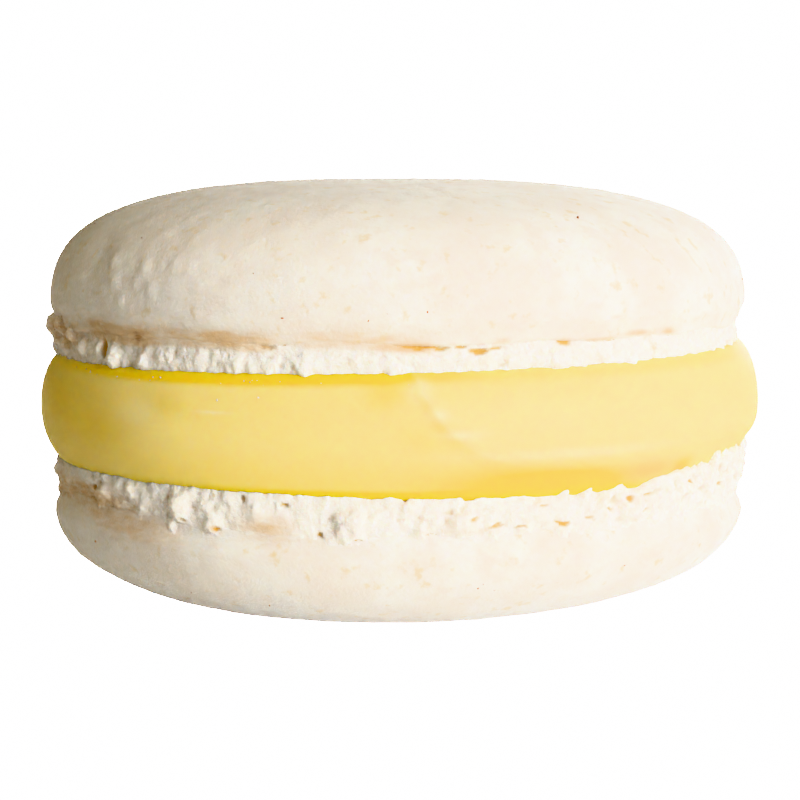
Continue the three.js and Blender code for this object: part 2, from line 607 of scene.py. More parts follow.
class Side(Enum):
    """Which way a shell's crown points."""

    UPPER = 1
    LOWER = -1


# ---------------------------------------------------------------- finishes


@dataclass(frozen=True)
class BakedMeringue:
    """Almond meringue baked dry in a low oven.

    The skin is smooth, faintly mottled and nearly matt, with flecks of ground almond. Under the lip the
    froth is whiter and chalky, its smooth stretches are tan, and its caves show the inside browned by the
    oven. Shade is painted into the creases between froth lumps, and as tan and brown on the shaded left
    of each foot.

    Attributes:
        skin: The skin's colour.
        skin_shade: The colour of its duller patches.
        froth: The froth's colour.
        tan: Where the oven has lightly browned it, and the lighter painted shade on the shaded left of each
            foot.
        brown: Where the oven has browned it most, and the darkest painted shade on the shaded left of each
            foot.
        ochre: The inside of a cave.
        hollow: Painted shade in the creases between froth lumps.
        fleck: A fleck of ground almond.
        patch_size: The distance between patches, in millimetres.
        mottle_size: The same for the finer mottling.
        streak_size: The same for the streaks in the tan.
        fleck_size: The same for the flecks.
        crumb_size: The same for single larger crumbs.
        pore_size: The same for the pores.
        roughness: Nearly matt.
        bloom: A dusty sheen at its edges.
    """

    skin: str = "#e1ded7"
    skin_shade: str = "#dcd4ca"
    froth: str = "#e6e2db"
    tan: str = "#ccb08a"
    brown: str = "#9c7548"
    ochre: str = "#cfa242"
    hollow: str = "#c6b9a2"
    fleck: str = "#d3bf95"
    patch_size: float = 5.0
    mottle_size: float = 1.4
    streak_size: float = 0.35
    fleck_size: float = 0.95
    crumb_size: float = 1.7
    pore_size: float = 0.22
    roughness: float = 0.62
    bloom: float = 0.15

    def build(self) -> bpy.types.Material:
        """Makes the material.

        Returns:
            A material that reads the attributes froth, crevice and toast.
        """
        material, tree = new_material("baked_almond_meringue")
        coords = add_node(tree, "ShaderNodeTexCoord").outputs["Object"]
        inputs = {0: coords, 1: (1 / MM,) * 3}
        place = add_node(tree, "ShaderNodeVectorMath", inputs, operation="MULTIPLY").outputs[0]
        flattened = add_node(tree, "ShaderNodeMapping", {"Vector": place, "Scale": (0.25, 0.25, 1.0)})
        froth, crevice, toast_and_shade = (
            add_node(tree, "ShaderNodeAttribute", attribute_name=name).outputs["Fac"]
            for name in ("froth", "crevice", "toast_and_shade")
        )
        patches, mottle, streaks, flecks, pores = (
            add_node(
                tree,
                "ShaderNodeTexNoise",
                {"Vector": vector, "Scale": 1 / size, "Detail": 3.0, "Roughness": 0.55},
            ).outputs["Fac"]
            for vector, size in (
                (place, self.patch_size),
                (place, self.mottle_size),
                (flattened.outputs[0], self.streak_size),
                (place, self.fleck_size),
                (place, self.pore_size),
            )
        )
        inputs = {"Value": streaks, "From Min": 0.25, "From Max": 0.75, "To Min": 0.55, "To Max": 1.35}
        uneven = add_node(tree, "ShaderNodeMapRange", inputs).outputs[0]
        toast_and_shade_amount = add_node(tree, "ShaderNodeMath", {0: toast_and_shade, 1: uneven}, operation="MULTIPLY").outputs[0]
        bare = add_node(tree, "ShaderNodeMath", {0: flecks, 1: froth}, operation="SUBTRACT").outputs[0]
        colour = linear(self.skin)
        for over, amount, start, full, most in (
            (self.skin_shade, patches, 0.35, 0.65, 1.0),
            (self.skin_shade, mottle, 0.5, 0.75, 1.0),
            (self.froth, froth, 0.2, 0.8, 1.0),
            # painted shade: the creases between froth lumps darken with their depth
            (self.hollow, crevice, 0.02, 0.45, 1.0),
            # tan and brown follow the toast mask, which is oven colour and also painted shade on the shaded
            # left of each foot
            (self.tan, toast_and_shade_amount, 0.0, 0.6, 1.0),
            (self.brown, toast_and_shade_amount, 0.6, 1.1, 1.0),
            (self.ochre, crevice, 0.4, 1.0, 1.0),
            (self.fleck, bare, 0.58, 0.74, 0.55),
            (self.fleck, *self._crumbs(tree, place), 0.0, 0.7),
        ):
            inputs = {"Value": amount, "From Min": start, "From Max": full, "To Max": most}
            share = add_node(tree, "ShaderNodeMapRange", inputs, interpolation_type="SMOOTHSTEP")
            inputs = {"Factor": share.outputs["Result"], 6: colour, 7: linear(over)}
            colour = add_node(tree, "ShaderNodeMix", inputs, data_type="RGBA").outputs[2]
        strength = add_node(tree, "ShaderNodeMapRange", {"Value": froth, "To Min": 0.4}).outputs[0]
        inputs = {"Height": pores, "Strength": strength, "Distance": 0.1 * MM}
        bump = add_node(tree, "ShaderNodeBump", inputs).outputs["Normal"]
        shader = add_node(
            tree,
            "ShaderNodeBsdfPrincipled",
            {
                "Base Color": colour,
                "Roughness": self.roughness,
                "IOR": 1.45,
                "Specular IOR Level": 0.3,
                "Sheen Weight": self.bloom,
                "Sheen Roughness": 0.6,
                "Subsurface Weight": 0.6,
                "Subsurface Radius": (1.0, 0.75, 0.5),
                "Subsurface Scale": 0.8 * MM,
                "Normal": bump,
            },
        )
        add_node(tree, "ShaderNodeOutputMaterial", {"Surface": shader.outputs["BSDF"]})
        return material

    def _crumbs(
        self, tree: bpy.types.NodeTree, place: bpy.types.NodeSocket
    ) -> tuple[bpy.types.NodeSocket, bpy.types.NodeSocket]:
        """Scatters single ragged crumbs of ground almond.

        Args:
            tree: The material's nodes.
            place: Object coordinates in millimetres.

        Returns:
            The distance from the nearest crumb's middle, and that crumb's radius.
        """
        ragged = add_node(tree, "ShaderNodeTexNoise", {"Vector": place, "Scale": 3.5, "Detail": 2.0})
        inputs = {0: ragged.outputs["Color"], 1: (0.5,) * 3, 2: place}
        moved = add_node(tree, "ShaderNodeVectorMath", inputs, operation="MULTIPLY_ADD").outputs[0]
        cells = add_node(tree, "ShaderNodeTexVoronoi", {"Vector": moved, "Scale": 1 / self.crumb_size})
        draw = add_node(tree, "ShaderNodeSeparateColor", {"Color": cells.outputs["Color"]})
        inputs = {"Value": draw.outputs[0], "From Min": 0.6, "From Max": 1.0, "To Max": 0.2}
        radius = add_node(tree, "ShaderNodeMapRange", inputs).outputs["Result"]
        return cells.outputs["Distance"], radius


@dataclass(frozen=True)
class LemonCream:
    """Lemon curd beaten with butter and piped: soft, satin and slightly see-through.

    Attributes:
        body: Its colour.
        deep: Painted shade, the deeper yellow where the cream lies in shade.
        pale: Where the nozzle smeared it thin, and painted highlights on the ridge and on the lit side of a
            dent.
        stain: Where the froth has browned it.
        streak_size: The distance between the nozzle's fine lines, in millimetres.
        roughness: Satin.
    """

    body: str = "#f2de8e"
    deep: str = "#ecc81a"
    pale: str = "#f0e6bf"
    stain: str = "#e6b45c"
    streak_size: float = 0.33
    roughness: float = 0.42

    def build(self) -> bpy.types.Material:
        """Makes the material.

        Returns:
            A material that reads the attributes deep, pale and stain.
        """
        material, tree = new_material("piped_lemon_cream")
        coords = add_node(tree, "ShaderNodeTexCoord").outputs["Object"]
        place = add_node(tree, "ShaderNodeVectorMath", {0: coords, 1: (1 / MM,) * 3}, operation="MULTIPLY")
        colour = linear(self.body)
        # deep paints shade, pale paints smears and highlights, and stain is the cream's own colour
        for name, tint in (("deep", self.deep), ("pale", self.pale), ("stain", self.stain)):
            amount = add_node(tree, "ShaderNodeAttribute", attribute_name=name).outputs["Fac"]
            inputs = {"Factor": amount, 6: colour, 7: linear(tint)}
            colour = add_node(tree, "ShaderNodeMix", inputs, data_type="RGBA").outputs[2]
        inputs = {"Vector": place.outputs[0], "Scale": (0.04, 0.04, 1.0)}
        streaks = add_node(tree, "ShaderNodeMapping", inputs).outputs[0]
        inputs = {"Vector": streaks, "Scale": 1 / self.streak_size, "Detail": 3.0}
        smear = add_node(tree, "ShaderNodeTexNoise", inputs).outputs["Fac"]
        inputs = {"Height": smear, "Strength": 0.12, "Distance": 0.06 * MM}
        bump = add_node(tree, "ShaderNodeBump", inputs).outputs["Normal"]
        shader = add_node(
            tree,
            "ShaderNodeBsdfPrincipled",
            {
                "Base Color": colour,
                "Roughness": self.roughness,
                "IOR": 1.46,
                "Specular IOR Level": 0.15,
                "Subsurface Weight": 0.8,
                "Subsurface Radius": (1.0, 0.75, 0.25),
                "Subsurface Scale": 1.2 * MM,
                "Normal": bump,
            },
        )
        add_node(tree, "ShaderNodeOutputMaterial", {"Surface": shader.outputs["BSDF"]})
        return material


# ---------------------------------------------------------------- the shells


@dataclass
class MeringueShell:
    """One baked shell: a smooth domed skin with a foot of froth under its lip.

    Attributes:
        name: The finished piece's name.
        node: The CAD node that it stands for.
        side: Which way its crown points.
        contact: The level where it meets the cream.
        lip: The level of the skin's lower edge.
        crown: The level of its crown.
        side_power: A higher one makes the dome's side more upright.
        foot_inset: How far the foot stays inside the shell's radius.
        foot_profile: Shares of the foot's height, and how much further inside it is at each.
        drift: How far the shell has slipped towards +X.
        seed: Chooses the places of its lumps.
        rows: The lumps of its foot.
        knobs: Single lumps that stand out.
        smooths: Stretches of the foot without froth.
        rises: Places where the lip comes nearer the cream, the amount in millimetres.
        blisters: Bumps and hollows of the skin, the amount in millimetres.
        blistered: Stretches of skin with many small blisters.
        caves: Holes in the froth, the amount in millimetres.
        toast_and_shade_marks: Tan places: spots browned by the oven, and painted shade on the shaded left of
            the foot.
        notches: Gaps in the froth's edge on the cream, the amount in millimetres. A negative one lets
            the froth stand up past the cream.
        crown_power: A higher one makes the crown flatter.
        lip_tuck: How far the skin draws in at the lip.
        tuck_height: How far up the skin that reaches.
        lip_wave: How uneven the lip's height is.
        lip_round: The rounding under the lip.
        lip_steps: Faces across that rounding.
        skin_columns: Faces round the skin.
        skin_spacing: The distance between its rings.
        foot_columns: Faces round the foot before it is melted.
        foot_depth: How far the foot reaches inwards.
        foot_hidden: How far it reaches past the lip, inside the skin.
        core_overlap: How far the skin's core reaches into the foot.
        froth_voxel: The finest froth that melting leaves.
        froth_melt: How often the froth is smoothed.
        froth_left: The share of the froth's grain that a smooth stretch keeps.
        smooth_end: Degrees over which a smooth stretch fades out at its ends.
        edge_raggedness: How uneven the froth's edge on the cream is.
        cave_colour: How deep in colour a millimetre of cave is, from painted crease shade in a shallow cave
            to ochre in a deep one.
        cave_limit: The most that this comes to.
        cave_raggedness: How torn the caves' edges are.
        crease_reach: How many points away the neighbours of a crease are looked for.
        creases: The least depth that shows as painted crease shade and the depth that shows most.
    """

    name: str
    node: str
    side: Side
    contact: Level
    lip: Level
    crown: Level
    side_power: float
    foot_inset: float
    foot_profile: tuple[tuple[float, ...], tuple[float, ...]]
    drift: float
    seed: int
    rows: tuple[LumpRow, ...]
    knobs: tuple[Knob, ...]
    smooths: tuple[Smooth, ...]
    rises: tuple[Mark, ...]
    blisters: tuple[Mark, ...]
    blistered: tuple[Mark, ...]
    caves: tuple[Mark, ...]
    toast_and_shade_marks: tuple[Mark, ...]
    notches: tuple[Mark, ...]

    crown_power: float = 2.8
    lip_tuck: float = 0.42
    tuck_height: float = 1.1
    lip_wave: float = 0.12
    lip_round: float = 0.3
    lip_steps: int = 5
    skin_columns: int = 480
    skin_spacing: float = 0.3
    foot_columns: int = 240
    foot_depth: float = 2.1
    foot_hidden: float = 0.35
    core_overlap: float = 0.3
    froth_voxel: float = 0.138
    froth_melt: int = 6
    froth_left: float = 0.15
    smooth_end: float = 8.0
    edge_raggedness: float = 0.035
    cave_colour: float = 4.0
    cave_limit: float = 0.9
    cave_raggedness: float = 0.06
    crease_reach: int = 14
    creases: tuple[float, float] = (0.03, 0.3)

    @property
    def sense(self) -> int:
        """One for an upper shell and minus one for a lower shell."""
        return self.side.value

    @property
    def foot_height(self) -> float:
        """The height from the contact face to the lip."""
        return abs(self.lip.height - self.contact.height)

    @property
    def dome_height(self) -> float:
        """The height from the lip to the crown."""
        return abs(self.crown.height - self.lip.height)

    def height_of(self, level: float) -> float:
        """The height at the axis of a level: 0 is the cream, 1 the lip and 2 the crown."""
        foot, dome = min(level, 1) * self.foot_height, max(level - 1, 0) * self.dome_height
        return self.contact.height + self.sense * (foot + dome)

    def covers(self, marks: tuple[Mark, ...], points: np.ndarray) -> np.ndarray:
        """Adds up how much of some marks lies at each point.

        Args:
            marks: The marks.
            points: Points of the level shell.

        Returns:
            The sum for each point.
        """
        x, y, z = points.T
        angle = np.arctan2(x, -y)
        total = np.zeros(len(points))
        for mark in marks:
            total += mark.cover(angle, z - self.height_of(mark.level))
        return total

    def build(self, finish: bpy.types.Material) -> bpy.types.Object:
        """Models the shell and dresses it.

        Args:
            finish: The baked meringue.

        Returns:
            The finished piece.
        """
        shell = self.turn_skin()
        foot = self.grow_foot()
        join_solids(shell, foot, ("froth", "crevice", "toast_and_shade"))
        self.find_crevices(shell)
        dress(shell, finish)
        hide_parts(self.node)
        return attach(shell, "root")

    def turn_skin(self) -> bpy.types.Object:
        """Turns the domed skin and the solid core that the foot grows on.

        Returns:
            The solid, settled, with its blisters.
        """
        share = np.sin(np.linspace(0, math.pi / 2, CURVE_POINTS)) ** (2 / self.side_power)
        radius = self.dome_radius(share)
        radius[-1] = 0
        height = self.lip.height + self.sense * self.dome_height * share
        dome = even_steps(np.column_stack([radius, height]), self.skin_spacing)
        core = SHELL_RADIUS - self.foot_depth + self.core_overlap
        face, bevel = self.height_of(0), 0.5
        under = [(0, face), (core / 2, face), (core - bevel, face)]
        under += [(core, self.height_of(level)) for level in (0.2, 0.7)]
        edge = SHELL_RADIUS - self.lip_tuck - self.lip_round
        for turn in np.linspace(0, math.pi / 2, self.lip_steps, endpoint=False):
            sunk = self.sense * self.lip_round * math.cos(turn)
            under.append((edge + self.lip_round * math.sin(turn), self.lip.height - sunk))
        skin = turn_outline(self.name, under + dome, self.skin_columns)
        points = points_of(skin)
        store(skin, "froth", np.zeros(len(points)))
        store(skin, "crevice", np.zeros(len(points)))
        store(skin, "toast_and_shade", self.toast_and_shade_at(points))
        push = self.covers(self.blisters, points)
        move_points(skin, points + outward(points) * push[:, None])
        relief = Relief(self.name + "_skin_relief", self.seed)
        for wavelength, height in ((8.0, 0.05), (2.2, 0.045), (0.9, 0.04)):
            relief.waves(wavelength, height)
        relief.blots(size=2.4, chance=0.3, radius=0.25, relief=0.05)
        relief.blots(size=1.1, chance=0.3, radius=0.35, relief=0.055)
        relief.blots(size=2.9, chance=0.2, radius=0.12, relief=-0.1)
        relief.apply(skin)
        store(skin, "blistered", np.clip(self.covers(self.blistered, points), 0, 1))
        relief = Relief(self.name + "_blisters", self.seed)
        relief.blots(size=0.8, chance=0.7, radius=0.45, relief=0.21)
        relief.fade("blistered", least=0.0)
        relief.apply(skin)
        skin.data.attributes.remove(skin.data.attributes["blistered"])
        move_points(skin, self.settle(points_of(skin)))
        return skin

    def dome_radius(self, share: np.ndarray) -> np.ndarray:
        """Gives the skin's radius.

        Args:
            share: Shares of the dome's height.

        Returns:
            The radius at each.
        """
        turn = np.arcsin(np.clip(share, 0, 1) ** (self.side_power / 2))
        tuck = self.lip_tuck * (1 - smoothstep(self.dome_height * share, 0, self.tuck_height))
        return SHELL_RADIUS * np.cos(turn) ** (2 / self.crown_power) - tuck

    def spot(self, angle: float, share: float) -> np.ndarray:
        """Finds a point of the skin.

        Args:
            angle: Degrees round the macaron.
            share: The place up the dome, from 0 at the lip to 1 at the crown.

        Returns:
            The point in millimetres.
        """
        away, turn = float(self.dome_radius(np.array(share))), math.radians(angle)
        height = self.lip.height + self.sense * self.dome_height * share
        return self.settle(np.array([[away * math.sin(turn), -away * math.cos(turn), height]]))[0]

    def settle(self, points: np.ndarray) -> np.ndarray:
        """Gives level points the shell's lean, its ovality and the unevenness of its lip.

        Args:
            points: Points of a level shell.

        Returns:
            The points where they lie on the macaron.
        """
        x, y, z = points.T
        angle = np.arctan2(x, -y)
        oval = 1 + self.sense * OVALITY * np.sin(2 * angle)
        x, y = x * oval, y * oval
        foot = (z - self.contact.height) / (self.lip.height - self.contact.height)
        dome = np.clip((z - self.lip.height) / (self.crown.height - self.lip.height), 0, 1)
        reach = smoothstep(np.hypot(x, y), 0.5 * SHELL_RADIUS, 0.9 * SHELL_RADIUS)
        lip = self.lip.at(x) + (1 - dome) * reach * self.lip_shift(angle)
        low = lerp(self.contact.at(x), lip, foot)
        high = lerp(lip, self.crown.at(x), dome)
        z = np.where(foot < 1, low, high + (z - self.crown.height) * (dome >= 1))
        return np.column_stack([x + self.drift, y, np.maximum(z, 0)])

    def lip_shift(self, angle: np.ndarray) -> np.ndarray:
        """Gives the lip's own unevenness.

        Args:
            angle: Angles in radians.

        Returns:
            How far the lip lies above its level at each, in millimetres.
        """
        shift = self.lip_wave * ring_wave(angle, slowest=8, fastest=22, seed=self.seed)
        for rise in self.rises:
            shift = shift - self.sense * rise.cover(angle, np.zeros(len(angle)))
        return shift

    def calm_at(self, angle: float, share: float) -> float:
        """How smooth the foot is at a place, from 0 for froth to 1.

        Args:
            angle: Degrees round the macaron.
            share: The place up the foot.

        Returns:
            The smoothness.
        """
        for smooth in self.smooths:
            if (angle - smooth.start) % 360 < (smooth.end - smooth.start) and share > smooth.low:
                return 1.0
        return 0.0

    def calm_over(self, points: np.ndarray) -> tuple[np.ndarray, np.ndarray]:
        """How smooth and how tan the foot's smooth stretches are at each point.

        Args:
            points: Points of a level shell.

        Returns:
            Two numbers from 0 to 1 for each point.
        """
        x, y, z = points.T
        angle = np.degrees(np.arctan2(x, -y))
        share = (z - self.contact.height) / (self.lip.height - self.contact.height)
        calm, tan = np.zeros((2, len(points)))
        for smooth in self.smooths:
            width = smooth.end - smooth.start
            inside = (angle - smooth.start) % 360
            ends = smoothstep(inside, 0, self.smooth_end)
            ends = ends * (1 - smoothstep(inside, width - self.smooth_end, width))
            low_edge = smoothstep(share, smooth.low - 0.15, smooth.low + 0.1)
            high_edge = 1 - smoothstep(share, 1.0, 1.4)
            calm = np.maximum(calm, ends * low_edge)
            tan = np.maximum(tan, smooth.tan * ends * low_edge * high_edge)
        return calm, tan

    def toast_and_shade_at(self, points: np.ndarray) -> np.ndarray:
        """How tan each point of the level shell is, from the oven and from painted shade."""
        return self.calm_over(points)[1] + self.covers(self.toast_and_shade_marks, points)

    def face_inset(self, share: float) -> float:
        """How far the foot's face lies inside its widest ring at a share of its height."""
        return float(np.interp(share, *self.foot_profile))

    def grow_foot(self) -> bpy.types.Object:
        """Grows the foot: a ring with rows of froth lumps, melted together, with grain and caves.

        Returns:
            The foot as one closed solid, settled on the macaron.
        """
        face = SHELL_RADIUS - self.foot_inset
        shares = (-0.05, 0.05, 0.15, 0.3, 0.45, 0.6, 0.75, 0.9, 1.0)
        outer = [(face - self.face_inset(share), self.height_of(share)) for share in shares]
        outer.append((face - self.face_inset(1.0), self.height_of(1.0) + self.sense * self.foot_hidden))
        core = SHELL_RADIUS - self.foot_depth
        inner = [(core, outer[-1][1]), (core, outer[0][1])]
        foot = turn_outline(self.name + "_foot", outer + inner + outer[:1], self.foot_columns)
        lump = uneven_ball(unevenness=0.08, seed=self.seed)
        draws = random.Random(self.seed)
        pieces = [foot]
        for row in self.rows:
            pieces += self.scatter_row(lump, row, draws)
        pieces += [self.place_lump(lump, knob, draws) for knob in self.knobs]
        bpy.data.objects.remove(lump)
        foot = join_all(pieces)
        apply_modifier(foot, "melt_together", "REMESH", mode="VOXEL", voxel_size=self.froth_voxel * MM)
        apply_modifier(foot, "soften", "SMOOTH", factor=0.5, iterations=self.froth_melt)
        points = points_of(foot)
        store(foot, "froth", 1 - self.calm_over(points)[0])
        store(foot, "toast_and_shade", self.toast_and_shade_at(points))
        self.roughen(foot)
        self.carve(foot)
        move_points(foot, self.settle(points_of(foot)))
        return foot

    def scatter_row(
        self, lump: bpy.types.Object, row: LumpRow, draws: random.Random
    ) -> list[bpy.types.Object]:
        """Copies the lump along one row.

        Args:
            lump: The lump to copy.
            row: The row's sizes.
            draws: The seeded draws.

        Returns:
            The copies.
        """
        start, end = row.angles
        count = round(math.radians(end - start) * SHELL_RADIUS / row.spacing)
        copies = []
        for i in range(count):
            knob = Knob(
                angle=start + (i + draws.uniform(-0.5, 0.5)) * (end - start) / count,
                share=draws.uniform(*row.share),
                radius=draws.uniform(*row.radius),
                sink=row.sink,
                stretch=row.stretch * draws.uniform(0.85, 1.2),
            )
            if draws.random() >= row.calm * self.calm_at(knob.angle, knob.share):
                copies.append(self.place_lump(lump, knob, draws))
        return copies

    def place_lump(self, lump: bpy.types.Object, knob: Knob, draws: random.Random) -> bpy.types.Object:
        """Copies the lump to one place on the foot.

        Args:
            lump: The lump to copy.
            knob: The copy's place and size.
            draws: The seeded draws, for its turn.

        Returns:
            The copy, with its place in its own mesh.
        """
        radius = SHELL_RADIUS - self.foot_inset - self.face_inset(knob.share) - knob.sink
        angle = math.radians(knob.angle)
        place = (radius * math.sin(angle), -radius * math.cos(angle), self.height_of(knob.share))
        return copy_to(lump, place, (knob.radius, knob.radius, knob.radius * knob.stretch), draws)

    def roughen(self, foot: bpy.types.Object) -> None:
        """Gives the froth its cauliflower grain, its creases and its small pits.

        Args:
            foot: The level foot.
        """
        relief = Relief(self.name + "_froth_relief", self.seed)
        relief.waves(wavelength=1.6, relief=0.14)
        relief.waves(wavelength=0.5, relief=0.08, detail=2.0)
        relief.cells(size=0.8, relief=0.1)
        relief.cells(size=0.38, relief=0.05)
        relief.blots(size=1.6, chance=0.3, radius=0.18, relief=-0.22)
        relief.fade("froth", least=self.froth_left)
        relief.apply(foot)

    def carve(self, foot: bpy.types.Object) -> None:
        """Sinks the caves, and trims the froth flat and ragged where it sits on the cream.

        Args:
            foot: The level foot.
        """
        points = points_of(foot)
        x, y, z = points.T
        angle = np.arctan2(x, -y)
        torn = z + self.cave_raggedness * ring_wave(angle, slowest=40, fastest=130, seed=self.seed + 1)
        depth = self.covers(self.caves, np.column_stack([x, y, torn]))
        points -= outward(points) * depth[:, None]
        x, y, z = points.T
        edge_wave = ring_wave(angle, slowest=70, fastest=130, seed=self.seed)
        ragged = self.edge_raggedness * np.abs(edge_wave)
        ragged += self.covers(self.notches, np.column_stack([x, y, np.full(len(x), self.contact.height)]))
        above = np.maximum(self.sense * (z - self.contact.height), ragged)
        points[:, 2] = self.contact.height + self.sense * above
        # shallow caves take the painted crease shade, deeper ones the ochre inside
        store(foot, "crevice", np.clip(depth * self.cave_colour, 0, self.cave_limit))
        move_points(foot, points)

    def find_crevices(self, piece: bpy.types.Object) -> None:
        """Stores how deep each point lies among its neighbours, 0 on a top and 1 in a cave. The finish
        paints crease shade from it.

        Args:
            piece: The whole shell.
        """
        tree = geometry_tree("crevice_depth")
        start = add_node(tree, "NodeGroupInput").outputs[0]
        position = add_node(tree, "GeometryNodeInputPosition").outputs[0]
        normal = add_node(tree, "GeometryNodeInputNormal").outputs[0]
        inputs = {"Value": position, "Iterations": self.crease_reach}
        around = add_node(tree, "GeometryNodeBlurAttribute", inputs, data_type="FLOAT_VECTOR")
        inputs = {0: around.outputs["Value"], 1: position}
        out = add_node(tree, "ShaderNodeVectorMath", inputs, operation="SUBTRACT").outputs[0]
        depth = add_node(tree, "ShaderNodeVectorMath", {0: out, 1: normal}, operation="DOT_PRODUCT")
        least, most = self.creases
        inputs = {"Value": depth.outputs["Value"], "From Min": least * MM, "From Max": most * MM}
        amount = add_node(tree, "ShaderNodeMapRange", inputs).outputs["Result"]
        for name, operation in (("froth", "MULTIPLY"), ("crevice", "MAXIMUM")):
            inputs = {"Name": name}
            stored = add_node(tree, "GeometryNodeInputNamedAttribute", inputs, data_type="FLOAT").outputs[0]
            amount = add_node(tree, "ShaderNodeMath", {0: amount, 1: stored}, operation=operation).outputs[0]
        inputs = {"Geometry": start, "Name": "crevice", "Value": amount}
        kept = add_node(tree, "GeometryNodeStoreNamedAttribute", inputs, data_type="FLOAT", domain="POINT")
        add_node(tree, "NodeGroupOutput", {0: kept.outputs[0]})
        apply_modifier(piece, "crevices", "NODES", node_group=tree)


# ---------------------------------------------------------------- the cream


